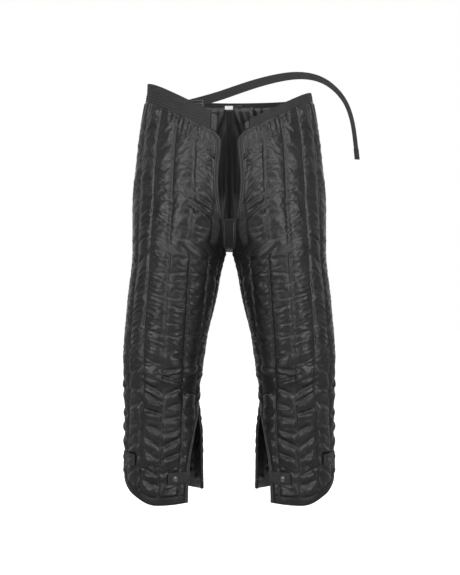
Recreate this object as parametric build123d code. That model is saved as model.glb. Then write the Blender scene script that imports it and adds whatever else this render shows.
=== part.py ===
"""Quilted thermal liner trousers: layered leg panels, elastic waist, strap, slits, snap tabs.

Frame: millimetres, +Z up, +X towards the wearer's left, the front faces -Y.
The origin is the centre of the waist opening.  "right" and "left" are the wearer's.
"""
from build123d import *
import math
import os

# ---- driving dimensions (mm) ---------------------------------------------------------------
HEIGHTS = (0, -80, -150, -240, -353, -465, -600, -690, -780, -920)   # where the shape is set
OUTER_X = (183, 197, 206, 215, 215, 226, 235, 233, 233, 235)         # outer side, at each height
LEG_CENTRE = (0, 0, 14, 56, 109, 129, 147, 151, 147, 147)            # centre of one leg's section
FRONT_DEPTH = (112, 116, 119, 121, 116, 108, 100, 94, 92, 93)        # half depth in front
BACK_DEPTH = (108, 122, 131, 137, 132, 114, 100, 94, 94, 95)         # half depth behind

WAIST_Z = -20.0            # lower edge of the waistband at the sides
WAIST_DROP = 0.54          # how steeply that edge falls towards the front, mm per mm
WAIST_BACK_RISE = 10.0     # how much higher it lies at the centre back
HEM_ANGLES = (0, 48, 110, 180, 225, 262, 310, 360)      # the hem's height round the leg
HEM_HEIGHTS = (-890, -899, -897, -861, -888, -906, -904, -904)
CROTCH_Z = -353.0          # lowest point of the crotch seam
CROTCH_HALF_GAP = 7.0      # half the distance between the legs there
CROTCH_ROUNDING = 6.0      # degrees that each panel's edge stands back at the crotch
FLY_BOTTOM_Z = -290.0
FLY_HEIGHTS = (-60, -100, -125, -205, FLY_BOTTOM_Z, -330, CROTCH_Z)
FLY_HALF_GAP = (39, 34, 17, 23, 16, 11, CROTCH_HALF_GAP)
SLIT_TOP_Z = -698.0
SLIT_ANGLE = 50.0          # how far the front panel's edge stands back at the hem, degrees

SHELL = (0.0, -1.0)        # each layer lies between two offsets from the outer surface
WADDING = (-1.7, -4.7)
LINING = (-5.4, -6.2)
SEAM_TAPE = (-6.9, -7.7)
TRIM = (1.6, 0.7)
BAND = (1.2, -1.3)
SEAM_GAP = 0.8             # from a panel's edge to the middle of its seam
TRIM_WIDTH = 9.0
HEM_BAND_HEIGHT = 18.0
TAPE_WIDTH = 9.0

BAND_HEIGHT_RIGHT = 38.0
BAND_HEIGHT_LEFT = 18.0
BAND_HEIGHT_BACK = 9.5     # at the centre back, rising to the front bands' heights at the sides

TAB_LENGTH = 50.0
TAB_HEIGHT = 26.0
TAB_LAYER = (5.4, 3.6)
INNER_TAB_Z = -848.0
OUTER_TAB_Z = -812.0
OUTER_TAB_ANGLE = 197.0    # where the outer tab is sewn on, round the leg
CAP_RADIUS = 6.0
SOCKET_RADIUS = 4.6
STUD_RADIUS = 4.2
POST_RADIUS = 1.7

STRAP_WIDTH = 20.0
STRAP_THICKNESS = 2.0
# The strap's centreline, from inside the right waistband, over the waist and down at the left.
STRAP_X = (-120, -93, -60, -20, 22, 66, 108, 146, 178, 206, 229, 250, 266, 277, 284, 288)
STRAP_Z = (-49, -39.5, -29.5, -16, 1, 17.5, 30, 37.5, 38, 32, 20, 1.5, -21, -50, -85, -122)
STRAP_PLANE_Y = -44.0      # the strap stands in an upright plane: its y where x is zero
STRAP_PLANE_SLOPE = 0.22
STRAP_END_LENGTH = 24.0

SLIDER_X = -69.0
SLIDER_Z = -50.0           # axis of the lower bar, which the keeper loop holds
SLIDER_LENGTH = 26.0
SLIDER_RISE = 15.0
SLIDER_BAR = 2.4

SIDES = {"right": -1, "left": 1}
parts = {}


# ---- the shape of the garment ---------------------------------------------------------------
def blend(x, xs, ys):
    """A smooth curve through the points (xs, ys), flat beyond its ends and with no overshoot."""
    if xs[-1] < xs[0]:
        xs, ys = xs[::-1], ys[::-1]
    if x <= xs[0]:
        return ys[0]
    if x >= xs[-1]:
        return ys[-1]
    i = max(k for k in range(len(xs) - 1) if xs[k] <= x)
    steps = [(ys[k + 1] - ys[k]) / (xs[k + 1] - xs[k]) for k in range(len(xs) - 1)]

    def slope(k):
        if k == 0 or k == len(xs) - 1:
            return steps[0] if k == 0 else steps[-1]
        a, b = steps[k - 1], steps[k]
        return 0.0 if a * b <= 0 else 2 * a * b / (a + b)

    h = xs[i + 1] - xs[i]
    t = (x - xs[i]) / h
    return (ys[i] * (1 + 2 * t) * (1 - t) ** 2 + slope(i) * h * t * (1 - t) ** 2
            + ys[i + 1] * t * t * (3 - 2 * t) + slope(i + 1) * h * t * t * (t - 1))


def section(z):
    """Centre, half width, front and back half depth of the right leg's section, as positives."""
    centre = blend(z, HEIGHTS, LEG_CENTRE)
    return centre, blend(z, HEIGHTS, OUTER_X) - centre, blend(z, HEIGHTS, FRONT_DEPTH), \
        blend(z, HEIGHTS, BACK_DEPTH)


def surface_point(side, angle, z, offset=0.0):
    """A point on one leg: 180 degrees is the outer side, 270 the front, 360 the inseam."""
    centre, a, front, back = section(z)
    b = front if angle > 180 else back
    t = math.radians(angle)
    c, s = math.cos(t), math.sin(t)
    n = math.hypot(c / a, s / b)
    x = -centre + a * c + offset * c / a / n
    y = b * s + offset * s / b / n
    return (x if side < 0 else -x, y, z)


def end_angle(z, half_gap, edge_gap):
    """How far a panel reaches short of the inseam, so that it stops half_gap from the middle."""
    centre, a, _, _ = section(z)
    reach = (centre - half_gap) / a
    least = math.degrees(edge_gap / a)
    if reach >= 1:
        return least
    return max(math.degrees(math.acos(reach)), least)


def crotch_easing(z):
    """Degrees added to a panel's edge near the crotch, so that the corner there is rounded."""
    return CROTCH_ROUNDING * math.exp(-((z - CROTCH_Z) / 25.0) ** 2)


def front_edge(z):
    """The angle where the front panel ends: the fly, then the crotch seam, inseam and slit."""
    angle = end_angle(z, blend(z, FLY_HEIGHTS, FLY_HALF_GAP), SEAM_GAP) + crotch_easing(z)
    if z < SLIT_TOP_Z:
        drop = (SLIT_TOP_Z - z) / 90.0
        angle += SLIT_ANGLE * (1 - math.exp(-1.6 * drop))
    return 360 - angle


def back_edge(z):
    """The angle where the back panel ends: the centre-back seam, crotch seam and inseam."""
    gap = blend(z, (-240, CROTCH_Z), (SEAM_GAP, CROTCH_HALF_GAP))
    return end_angle(z, gap, SEAM_GAP) + crotch_easing(z)


def waist_z(angle):
    """Height of the waistband's lower edge."""
    if angle > 180:
        return WAIST_Z - WAIST_DROP * OUTER_X[0] * (1 + math.cos(math.radians(angle)))
    return WAIST_Z + WAIST_BACK_RISE * math.sin(math.radians(angle)) ** 2


def hem_z(angle):
    """Height of the hem, which is lowest in front and highest at the outer side."""
    return blend(angle, HEM_ANGLES, HEM_HEIGHTS)


# ---- closed solids from grids of points -------------------------------------------------------
def grid_solid(outer, inner):
    """The closed solid between two grids of points that match row by row.

    Each row becomes one smooth edge, and neighbouring rows are joined by ruled faces.
    """
    grids = [[Edge.make_spline([Vector(*p) for p in row]) for row in g] for g in (outer, inner)]
    rows = range(len(outer) - 1)
    faces = [Face.make_surface_from_curves(g[i], g[i + 1]) for g in grids for i in rows]
    faces += [Face.make_surface_from_curves(grids[0][i], grids[1][i]) for i in (0, -1)]
    for i in rows:
        for k in (0, -1):
            near, far = [Edge.make_line(Vector(*g[i][k]), Vector(*g[i + 1][k])) for g in (outer, inner)]
            faces.append(Face.make_surface_from_curves(near, far))
    return outward(Solid(Shell(faces)))


def outward(solid):
    """The solid with its faces looking out, as its volume tells."""
    if solid.volume < 0:
        solid.wrapped.Reverse()
    return solid


def patch(side, layer, place, rows=6, columns=5):
    """A piece of cloth on a leg; place(s, t) gives angle and height, s across and t down."""
    def grid(offset):
        return [[surface_point(side, *place(k / (columns - 1), i / (rows - 1)), offset)
                 for k in range(columns)] for i in range(rows)]
    return grid_solid(grid(layer[0]), grid(layer[1]))


def box_place(start, end, top, bottom):
    """A patch between two angles and two heights, each a number or a function.

    start and end are functions of height, top and bottom are functions of angle.
    """
    def value(limit, at):
        return limit(at) if callable(limit) else limit

    def place(s, t):
        angle, z = value(start, WAIST_Z), 0.0
        for _ in range(60):
            high, low = value(top, angle), value(bottom, angle)
            z = high + (low - high) * t
            first = value(start, z)
            angle += 0.4 * (first + (value(end, z) - first) * s - angle)
        return angle, z
    return place


def degrees_for(length, z):
    """The angle round a leg that a length takes up at a height."""
    _, a, front, _ = section(z)
    return math.degrees(2 * length / (a + front))


def name(side_name, piece):
    return f"{side_name}_{piece}"


# ---- cloth layers -------------------------------------------------------------------------------
def panel_top(angle):
    return waist_z(angle) - SEAM_GAP


def leg_panels():
    """Front and back panel of each leg, each a shell, a wadding and a lining."""
    side_seam = math.degrees(SEAM_GAP / 95)
    layers = {"shell": SHELL, "wadding": WADDING, "lining": LINING}
    for side_name, side in SIDES.items():
        for layer_name, layer in layers.items():
            front = box_place(180 + side_seam, front_edge, panel_top, hem_z)
            back = box_place(180 - side_seam, back_edge, panel_top, hem_z)
            parts[name(side_name, f"front_{layer_name}")] = patch(side, layer, front, 28, 9)
            parts[name(side_name, f"back_{layer_name}")] = patch(side, layer, back, 28, 9)


def seam_tapes():
    """Tapes inside the garment that cover the side seams, the inseams and the back seam."""
    half = TAPE_WIDTH / 2
    for side_name, side in SIDES.items():
        side_seam = box_place(lambda z: 180 - degrees_for(half, z), lambda z: 180 + degrees_for(half, z),
                              lambda angle: panel_top(180) - 2, lambda angle: hem_z(180) + 3)
        inseam = box_place(lambda z: 360 - degrees_for(half, z), lambda z: 360 + degrees_for(half, z),
                           CROTCH_Z - 45, SLIT_TOP_Z + 8)
        parts[name(side_name, "side_seam_tape")] = patch(side, SEAM_TAPE, side_seam, 18, 3)
        parts[name(side_name, "inseam_tape")] = patch(side, SEAM_TAPE, inseam, 10, 3)
    parts["centre_back_seam_tape"] = centre_back_tape()


def centre_back_tape():
    heights = [panel_top(90) - 13 - k * 25 for k in range(12)]
    rows = []
    for depth in SEAM_TAPE:
        rows.append([[(x, section(z)[3] * math.sin(math.acos(min(1, section(z)[0] / section(z)[1])))
                       + depth, z) for x in (-TAPE_WIDTH / 2, 0, TAPE_WIDTH / 2)] for z in heights])
    return grid_solid(rows[0], rows[1])


def crotch_gusset():
    """The strip under the crotch, from the bottom of the fly round to the back."""
    clearance = 1.3
    path = []
    for z in (-291, -302, -314, -326, -337, -345, -351):
        x, y, _ = surface_point(1, front_edge(z), z)
        path.append((x - clearance, y, z))
    path.append((CROTCH_HALF_GAP - clearance, 0, CROTCH_Z - 2))
    for z in (-351, -345, -337):
        x, y, _ = surface_point(1, back_edge(z), z)
        path.append((x - clearance, y, z))

    def grid(offset):
        rows = []
        for i, (x, y, z) in enumerate(path):
            before, after = path[max(i - 1, 0)], path[min(i + 1, len(path) - 1)]
            dy, dz = after[1] - before[1], after[2] - before[2]
            n = math.hypot(dy, dz)
            rows.append([(share * x, y + offset * dz / n, z - offset * dy / n)
                         for share in (-1, 0, 1)])
        return rows
    return grid_solid(grid(0.0), grid(-1.2))


def fly_bindings():
    for side_name, side in SIDES.items():
        place = box_place(lambda z: front_edge(z) - degrees_for(TRIM_WIDTH, z),
                          lambda z: front_edge(z) - 0.3, -103, FLY_BOTTOM_Z)
        parts[name(side_name, "fly_binding")] = patch(side, TRIM, place, 16, 3)


def knee_gussets():
    """A flat four-cornered piece at the inner side of each knee, where the leg bends."""
    def place(s, t):
        top, bottom = -644 + 23 * s, -656 - 18 * s
        return 303 + 33 * s, top + (bottom - top) * t
    for side_name, side in SIDES.items():
        parts[name(side_name, "knee_gusset")] = patch(side, TRIM, place, 4, 4)


# ---- hems, slits and their stitching --------------------------------------------------------------
def hem_and_slit_trim():
    """Hem facings, the bindings of the slit's two edges, and the bar tacks at the slits' tops."""
    tacks = []
    for side_name, side in SIDES.items():
        slit_top = SLIT_TOP_Z - 14
        front_slit = box_place(lambda z: front_edge(z) - degrees_for(TRIM_WIDTH, z),
                               lambda z: front_edge(z) - 0.3, slit_top, lambda a: hem_z(a) + 0.3)
        back_slit = box_place(lambda z: back_edge(z) + 0.3,
                              lambda z: back_edge(z) + degrees_for(TRIM_WIDTH, z),
                              slit_top, lambda a: hem_z(a) + 0.3)
        front_hem = box_place(181.0, lambda z: front_edge(z) - degrees_for(TRIM_WIDTH + 1, z),
                              lambda a: hem_z(a) + HEM_BAND_HEIGHT, lambda a: hem_z(a) + 0.3)
        back_hem = box_place(179.0, lambda z: back_edge(z) + degrees_for(TRIM_WIDTH + 1, z),
                             lambda a: hem_z(a) + HEM_BAND_HEIGHT, lambda a: hem_z(a) + 0.3)
        parts[name(side_name, "front_slit_binding")] = patch(side, TRIM, front_slit, 12, 3)
        parts[name(side_name, "back_slit_binding")] = patch(side, TRIM, back_slit, 12, 3)
        parts[name(side_name, "front_hem_band")] = patch(side, TRIM, front_hem, 3, 9)
        parts[name(side_name, "back_hem_band")] = patch(side, TRIM, back_hem, 3, 9)
        tack = box_place(351.0, 365.0, SLIT_TOP_Z + 3, SLIT_TOP_Z - 3)
        tacks.append(patch(side, TRIM, tack, 3, 4))
    parts["slit_bar_tacks"] = Compound(children=tacks)


# ---- waist ---------------------------------------------------------------------------------------
def waistbands():
    """Elastic front bands of two heights, and the back band that joins them at the side seams."""
    def band(side, start, end, height, columns):
        place = box_place(start, end, lambda a: waist_z(a) + height(a), waist_z)
        return patch(side, BAND, place, 3, columns)

    def back_height(angle):
        side_height = BAND_HEIGHT_RIGHT if angle > 90 else BAND_HEIGHT_LEFT
        return BAND_HEIGHT_BACK + (side_height - BAND_HEIGHT_BACK) * ((angle - 90) / 90) ** 2

    parts["right_waistband"] = band(-1, 180.3, 258.5, lambda a: BAND_HEIGHT_RIGHT, 9)
    parts["left_waistband"] = band(1, 180.3, 257.5, lambda a: BAND_HEIGHT_LEFT, 9)
    parts["back_waistband"] = band(-1, 0.3, 179.7, back_height, 15)


def closure_patches():
    """Stitched end pieces where the two front bands stop at the fly."""
    right = box_place(258.9, 262.4, lambda a: waist_z(a) + 33, lambda a: waist_z(a) + 1)
    left = box_place(257.9, 260.6, lambda a: waist_z(a) + 14, lambda a: waist_z(a) + 1)
    parts["right_band_end"] = patch(-1, (1.0, -0.8), right, 3, 3)
    parts["left_band_end"] = patch(1, (1.0, -0.8), left, 3, 3)


def label_pieces():
    """A blank label on a cloth backing, sewn inside the back of the waist."""
    backing = box_place(80.0, 95.3, -6.5, -22.0)
    label = box_place(87.3, 93.3, -8.0, -16.5)
    parts["label_backing"] = patch(-1, (-6.8, -7.5), backing, 3, 4)
    parts["blank_label"] = patch(-1, (-8.0, -8.5), label, 3, 3)


# ---- strap, its anchor and its slider ---------------------------------------------------------------
def strap_point(x, z):
    return Vector(x, STRAP_PLANE_Y + STRAP_PLANE_SLOPE * x, z)


def strap_normal():
    return Vector(-STRAP_PLANE_SLOPE, 1, 0).normalized()


def strap():
    """A flat webbing strap that leaves the right waistband's inside and hangs down at the left."""
    points = [strap_point(x, z) for x, z in zip(STRAP_X, STRAP_Z)]
    radii = []
    for a, b, c in zip(points, points[1:], points[2:]):
        half_turn = math.radians((b - a).get_angle(c - b)) / 2
        radii.append(0.45 * min((b - a).length, (c - b).length) / math.tan(half_turn))
    print("strap radii:", [round(r) for r in radii])
    path = FilletPolyline(*points, radius=radii)
    start, direction = points[0], (points[1] - points[0]).normalized()
    profile = Plane(start, x_dir=strap_normal(), z_dir=direction) * Rectangle(STRAP_THICKNESS, STRAP_WIDTH)
    body = sweep(profile, path=path)
    print("strap length:", round(path.length), "volume ratio:",
          round(body.volume / (STRAP_THICKNESS * STRAP_WIDTH * path.length), 4))
    parts["waist_strap"] = body
    parts["strap_end"] = strap_block(points[-1], points[-1] - points[-2], STRAP_END_LENGTH, 4.4, 20.6)
    parts["strap_anchor"] = strap_block(points[0], points[0] - points[1], 10.0, 4.0, 22.0)


def strap_block(start, direction, length, thickness, width):
    """A block that starts at a point of the strap and goes on in the given direction."""
    at = Plane(start, x_dir=strap_normal(), z_dir=direction.normalized())
    return extrude(at * Rectangle(thickness, width), amount=length)


def slider_frame():
    """The slider's own place: X along its bars, Y towards the garment's inside, Z up."""
    a, front = OUTER_X[0], FRONT_DEPTH[0]
    share = SLIDER_X / a
    y = -front * math.sqrt(1 - share * share) - BAND[1] + 3.6
    slope = front * share / (a * math.sqrt(1 - share * share))
    return Plane(Vector(SLIDER_X, y, SLIDER_Z), x_dir=Vector(1, slope, 0), z_dir=Vector(0, 0, 1))


def strap_slider():
    """A three-bar slider that stands in a webbing loop on the inside of the right waistband."""
    at = slider_frame()
    print("slider hinge (mm):", at.origin, "axis:", at.x_dir)
    bar, pitch = SLIDER_BAR, (SLIDER_RISE - SLIDER_BAR) / 2
    body = None
    for k in range(3):
        rod = extrude(Plane(at.origin + at.z_dir * (k * pitch), x_dir=at.y_dir, z_dir=at.x_dir)
                      * Circle(bar / 2), amount=SLIDER_LENGTH / 2, both=True)
        body = rod if body is None else body + rod
    for end in (-1, 1):
        centre = at.origin + at.x_dir * (end * SLIDER_LENGTH / 2) + at.z_dir * pitch
        side_bar = Plane(centre - at.z_dir * (pitch + bar / 2), x_dir=at.x_dir, z_dir=at.z_dir)
        body += extrude(side_bar * RectangleRounded(bar, bar, 0.5), amount=2 * pitch + bar)
    parts["strap_slider"] = body
    parts["slider_keeper_loop"] = keeper_loop(at)


def keeper_loop(at):
    """Webbing folded over the slider's lower bar, its two plies going down inside the band."""
    inner, outer, drop, width = SLIDER_BAR / 2 + 0.4, SLIDER_BAR / 2 + 1.3, 20.0, 17.0
    profile = Plane(at.origin, x_dir=at.y_dir, z_dir=at.x_dir)
    ring = Circle(outer) - Circle(inner)
    upper = ring & Pos(0, outer) * Rectangle(4 * outer, 2 * outer)
    plies = Sketch() + [Pos(s * (inner + outer) / 2, -drop / 2) * Rectangle(outer - inner, drop)
                        for s in (-1, 1)]
    return extrude(profile * (upper + plies), amount=width / 2, both=True)


# ---- hem tabs and their snaps -----------------------------------------------------------------------
def disc(side, angle, z, low, high, radius, hole=0.0):
    """A round piece standing on a leg's surface, between two offsets from it."""
    foot = Vector(*surface_point(side, angle, z, low))
    top = Vector(*surface_point(side, angle, z, high))
    at = Plane(foot, x_dir=Vector(0, 0, 1), z_dir=top - foot)
    shape = Circle(radius) - Circle(hole) if hole else Circle(radius)
    return extrude(at * shape, amount=(top - foot).length)


def tab_places():
    """Each tab's name, side, sewn angle, direction round the leg, and height."""
    for side_name, side in SIDES.items():
        sewn = front_edge(INNER_TAB_Z) - 1.0
        yield name(side_name, "inner_tab"), side, sewn, -1, INNER_TAB_Z
        yield name(side_name, "outer_tab"), side, OUTER_TAB_ANGLE, 1, OUTER_TAB_Z


def hem_tabs():
    """Four hem tabs, each with a snap cap and socket, and the studs that they close on."""
    studs, backs = [], []
    for tab, side, sewn, way, z in tab_places():
        span = way * degrees_for(TAB_LENGTH, z)
        place = box_place(sewn, sewn + span, z + TAB_HEIGHT / 2, z - TAB_HEIGHT / 2)
        parts[tab] = patch(side, TAB_LAYER, place, 3, 7)
        snap_at = sewn + 0.68 * span
        cap = disc(side, snap_at, z, TAB_LAYER[0] + 0.3, TAB_LAYER[0] + 2.1, CAP_RADIUS)
        parts[tab + "_snap_cap"] = fillet(cap.edges().filter_by(GeomType.CIRCLE), 0.7)
        parts[tab + "_snap_socket"] = disc(side, snap_at, z, 2.2, TAB_LAYER[1] - 0.3,
                                           SOCKET_RADIUS, POST_RADIUS + 0.5)
        studs.append(disc(side, snap_at, z, 0.6, 1.6, STUD_RADIUS)
                     + disc(side, snap_at, z, 0.6, 3.0, POST_RADIUS))
        backs.append(disc(side, snap_at, z, LINING[1] - 1.9, LINING[1] - 0.7, STUD_RADIUS))
        hinge = surface_point(side, sewn, z, sum(TAB_LAYER) / 2)
        print(tab, "hinge (mm):", [round(v, 2) for v in hinge])
    parts["snap_studs"] = Compound(children=studs)
    parts["snap_stud_backs"] = Compound(children=backs)


def main():
    leg_panels()
    seam_tapes()
    parts["crotch_gusset"] = crotch_gusset()
    fly_bindings()
    knee_gussets()
    hem_and_slit_trim()
    waistbands()
    closure_patches()
    label_pieces()
    strap()
    strap_slider()
    hem_tabs()
    os.makedirs("parts", exist_ok=True)
    for node, shape in parts.items():
        export_step(shape, f"parts/{node}.step")
    print(len(parts), "nodes")


main()
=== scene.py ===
import math

import bmesh
import bpy
import numpy as np
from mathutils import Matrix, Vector


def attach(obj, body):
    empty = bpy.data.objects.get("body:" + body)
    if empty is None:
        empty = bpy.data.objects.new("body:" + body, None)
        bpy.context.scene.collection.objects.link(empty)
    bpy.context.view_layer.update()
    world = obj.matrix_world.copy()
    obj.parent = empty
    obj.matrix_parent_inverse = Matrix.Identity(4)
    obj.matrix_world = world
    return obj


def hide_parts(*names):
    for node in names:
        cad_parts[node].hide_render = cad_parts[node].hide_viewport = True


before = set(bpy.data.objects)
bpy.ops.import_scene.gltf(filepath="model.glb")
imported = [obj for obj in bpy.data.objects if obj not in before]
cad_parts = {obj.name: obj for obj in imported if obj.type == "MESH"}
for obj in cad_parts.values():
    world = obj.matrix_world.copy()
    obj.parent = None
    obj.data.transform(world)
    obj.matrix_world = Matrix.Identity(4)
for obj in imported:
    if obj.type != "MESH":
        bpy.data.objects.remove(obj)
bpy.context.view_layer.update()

MM = 0.001
GARMENT = "garment"
SIDES = {"right": -1, "left": 1}          # the wearer's sides; right is at -X

# ---- the garment's shape, as in the CAD model (mm) --------------------------------------------
HEIGHTS = (0, -80, -150, -240, -353, -465, -600, -690, -780, -920)
OUTER_X = (183, 197, 206, 215, 215, 226, 235, 233, 233, 235)
LEG_CENTRE = (0, 0, 14, 56, 109, 129, 147, 151, 147, 147)
FRONT_DEPTH = (112, 116, 119, 121, 116, 108, 100, 94, 92, 93)
BACK_DEPTH = (108, 122, 131, 137, 132, 114, 100, 94, 94, 95)
WAIST_Z, WAIST_DROP, WAIST_BACK_RISE = -20.0, 0.54, 10.0
HEM_ANGLES = (0, 48, 110, 180, 225, 262, 310, 360)
HEM_HEIGHTS = (-890, -899, -897, -861, -888, -906, -904, -904)
CROTCH_Z, CROTCH_HALF_GAP, CROTCH_ROUNDING = -353.0, 7.0, 6.0
FLY_BOTTOM_Z = -290.0
FLY_HEIGHTS = (-60, -100, -125, -205, FLY_BOTTOM_Z, -330, CROTCH_Z)
FLY_HALF_GAP = (39, 34, 17, 23, 16, 11, CROTCH_HALF_GAP)
SLIT_TOP_Z, SLIT_ANGLE = -698.0, 50.0
SEAM_GAP = 0.8
BAND_HEIGHT_RIGHT, BAND_HEIGHT_LEFT, BAND_HEIGHT_BACK = 38.0, 18.0, 9.5
TAB_LENGTH, TAB_HEIGHT = 50.0, 26.0
INNER_TAB_Z, OUTER_TAB_Z, OUTER_TAB_ANGLE = -848.0, -812.0, 197.0
STRAP_X = (-120, -93, -60, -20, 22, 66, 108, 146, 178, 206, 229, 250, 266, 277, 284, 288)
STRAP_Z = (-49, -39.5, -29.5, -16, 1, 17.5, 30, 37.5, 38, 32, 20, 1.5, -21, -50, -85, -122)
STRAP_PLANE_Y, STRAP_PLANE_SLOPE = -44.0, 0.22
STRAP_WIDTH = 20.0
STRAP_THICKNESS = 1.8
STRAP_TWIST = 42.0         # how far the webbing has turned at its hanging end, degrees
GUSSET_ANGLES = (303, 336)
TRIM_WIDTH = 9.0
HEM_BAND_HEIGHT = 18.0
TAPE_WIDTH = 9.0
SHELL_TRIM = (1.6, 0.7)    # each layer lies between two offsets from the outer surface, mm
SEAM_TAPE = (-6.9, -7.7)
BAND = (1.2, -1.3)
BAND_OVERLAP = 2.6         # how far the elastic laps over the top of the panels
TAB_LAYER = (5.4, 3.6)
SNAP_SHARE = 0.68          # where a tab's snap lies, as a share of the tab's length

# ---- quilting --------------------------------------------------------------------------------
RIB_PITCH = 6.0            # of the taller band's sewn ribs
CHANNEL = 46.0             # distance between the stitched lines, mm
FIRST_LINE = 18.0          # from the side seam to the first line
WAIST_SHIFT = 18.0         # how far the lines lean towards the side seam at the waist
HEM_SHIFT = 20.0           # and at the hem
PANEL_ROWS, PANEL_COLUMNS = 240, 78
PUFF = 3.2                 # height of a channel before it is inflated
LINING_OFFSET = -5.2
BACK_CALM = 0.7            # how much of the front's creasing the back panels have
SIM_FRAMES = 22
MOVE_CAP = 6.5             # furthest the simulation may move a point, mm
STITCH_PITCH = 3.2         # of the quilting thread


def blend(x, xs, ys):
    """A smooth curve through the points (xs, ys), flat beyond its ends and with no overshoot."""
    xs, ys = np.array(xs, float), np.array(ys, float)
    if xs[-1] < xs[0]:
        xs, ys = xs[::-1], ys[::-1]
    steps = np.diff(ys) / np.diff(xs)
    slopes = np.concatenate([steps[:1], np.zeros(len(xs) - 2), steps[-1:]])
    a, b = steps[:-1], steps[1:]
    same = a * b > 0
    slopes[1:-1][same] = (2 * a * b)[same] / (a + b)[same]
    x = np.clip(np.asarray(x, float), xs[0], xs[-1])
    i = np.clip(np.searchsorted(xs, x, side="right") - 1, 0, len(xs) - 2)
    h = xs[i + 1] - xs[i]
    t = (x - xs[i]) / h
    return (ys[i] * (1 + 2 * t) * (1 - t) ** 2 + slopes[i] * h * t * (1 - t) ** 2
            + ys[i + 1] * t * t * (3 - 2 * t) + slopes[i + 1] * h * t * t * (t - 1))


def section(z):
    """Middle, half width, front depth and back depth of a leg at a height."""
    centre = blend(z, HEIGHTS, LEG_CENTRE)
    half_width = blend(z, HEIGHTS, OUTER_X) - centre
    return centre, half_width, blend(z, HEIGHTS, FRONT_DEPTH), blend(z, HEIGHTS, BACK_DEPTH)


def surface(angle, z, offset=0.0):
    """Points of the right leg: 180 degrees is the outer side, 270 the front, 360 the inseam."""
    angle, z = np.asarray(angle, float), np.asarray(z, float)
    centre, a, front, back = section(z)
    b = np.where(angle > 180, front, back)
    t = np.radians(angle)
    c, s = np.cos(t), np.sin(t)
    n = np.hypot(c / a, s / b)
    return np.stack([-centre + a * c + offset * c / a / n, b * s + offset * s / b / n,
                     z + 0 * angle], axis=-1)


def end_angle(z, half_gap):
    centre, a, _, _ = section(z)
    reach = np.clip((centre - half_gap) / a, -1, 1)
    return np.maximum(np.degrees(np.arccos(reach)), np.degrees(SEAM_GAP / a))


def crotch_easing(z):
    return CROTCH_ROUNDING * np.exp(-((z - CROTCH_Z) / 25.0) ** 2)


def front_edge(z):
    z = np.asarray(z, float)
    angle = end_angle(z, blend(z, FLY_HEIGHTS, FLY_HALF_GAP)) + crotch_easing(z)
    drop = np.maximum(SLIT_TOP_Z - z, 0) / 90.0
    return 360 - angle - SLIT_ANGLE * (1 - np.exp(-1.6 * drop))


def back_edge(z):
    z = np.asarray(z, float)
    gap = blend(z, (-240, CROTCH_Z), (SEAM_GAP, CROTCH_HALF_GAP))
    return end_angle(z, gap) + crotch_easing(z)


def waist_z(angle):
    t = np.radians(angle)
    front = WAIST_Z - WAIST_DROP * OUTER_X[0] * (1 + np.cos(t))
    return np.where(np.asarray(angle) > 180, front, WAIST_Z + WAIST_BACK_RISE * np.sin(t) ** 2)


def hem_z(angle):
    return blend(angle, HEM_ANGLES, HEM_HEIGHTS)


def degrees_for(length, z):
    _, a, front, _ = section(z)
    return np.degrees(2 * length / (a + front))


def gusset_top(share):
    return -644 + 23 * share


def gusset_bottom(share):
    return -656 - 18 * share


def constant(value):
    return value if callable(value) else lambda at: value + 0 * np.asarray(at, float)


def place(start, end, top, bottom, rows, columns):
    """Angles and heights of a grid between two edges (functions of height) and two ends."""
    start, end, top, bottom = (constant(v) for v in (start, end, top, bottom))
    t, s = np.meshgrid(np.linspace(0, 1, rows), np.linspace(0, 1, columns), indexing="ij")
    angle = start(np.full_like(s, WAIST_Z))
    for _ in range(60):
        high, low = top(angle), bottom(angle)
        z = high + (low - high) * t
        first = start(z)
        angle = angle + 0.4 * (first + (end(z) - first) * s - angle)
    return angle, z


# ---- noise --------------------------------------------------------------------------------------
def noise(x, y, seed):
    """Smooth noise in -1..1 with features about one unit long."""
    table = np.random.default_rng(seed).uniform(-1, 1, (256, 256))
    x, y = np.asarray(x, float) + 1000.5, np.asarray(y, float) + 1000.5
    i, j = np.floor(x).astype(int), np.floor(y).astype(int)
    u, v = x - i, y - j
    u, v = u * u * (3 - 2 * u), v * v * (3 - 2 * v)

    def at(a, b):
        return table[a % 256, b % 256]
    return ((at(i, j) * (1 - u) + at(i + 1, j) * u) * (1 - v)
            + (at(i, j + 1) * (1 - u) + at(i + 1, j + 1) * u) * v)


def smooth(x, low, high):
    """0 below low, 1 above high, and smooth between them; low may be the larger."""
    t = np.clip((np.asarray(x, float) - low) / (high - low), 0, 1)
    return t * t * (3 - 2 * t)


# ---- meshes ---------------------------------------------------------------------------------------
def grid_faces(rows, columns, first=0, flip=False):
    i, k = np.meshgrid(np.arange(rows - 1), np.arange(columns - 1), indexing="ij")
    a = first + i * columns + k
    quads = np.stack([a, a + 1, a + columns + 1, a + columns], axis=-1).reshape(-1, 4)
    return quads[:, ::-1] if flip else quads


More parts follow.
